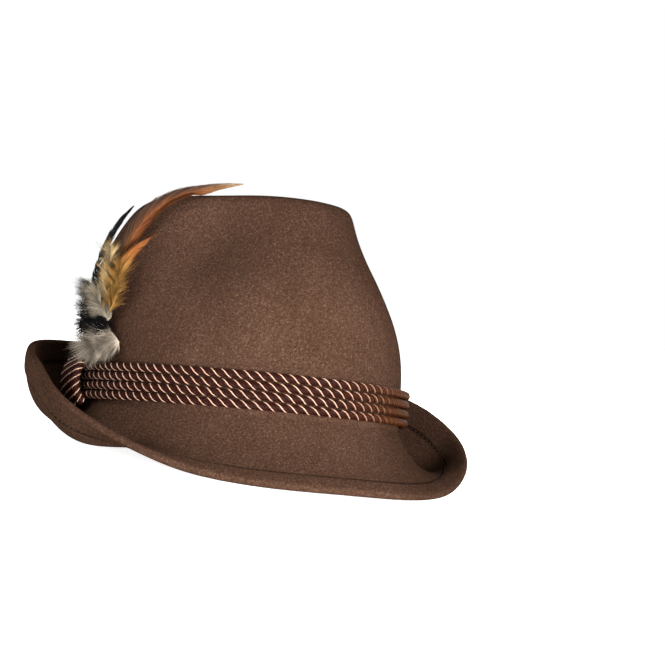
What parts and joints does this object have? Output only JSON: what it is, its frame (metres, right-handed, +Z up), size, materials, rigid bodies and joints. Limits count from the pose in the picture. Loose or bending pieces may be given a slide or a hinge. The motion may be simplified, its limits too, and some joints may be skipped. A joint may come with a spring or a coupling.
{
  "type": "tyrolean hat",
  "caption": "Felt hat with a pinched crown, a brim snapped down in front and rolled up behind, a twisted cord band and a feather plume at the side.",
  "frame": {"origin": "centre of the bounding box in plan, on the surface that the hat rests on", "axes": "+Z up, -Y towards the front of the hat, +X towards the wearer's left"},
  "size_m": [0.2558, 0.275, 0.1559],
  "materials": {
    "felt": "matt brown wool felt",
    "cord": "silky dark brown twisted cord with a thin pale thread",
    "orange_feather": "rust orange feather vane",
    "tan_feather": "golden tan feather vane",
    "black_feather": "black feather vane",
    "down": "soft grey and cream down"
  },
  "bodies": {
    "root": {"felt_body": "felt", "band_cord_1": "cord", "band_cord_2": "cord", "band_cord_3": "cord", "band_cord_4": "cord", "cord_wrap": "cord", "long_hackle": "orange_feather", "short_hackle": "tan_feather", "black_feather": "black_feather", "down_tuft": "down"}
  },
  "joints": []
}
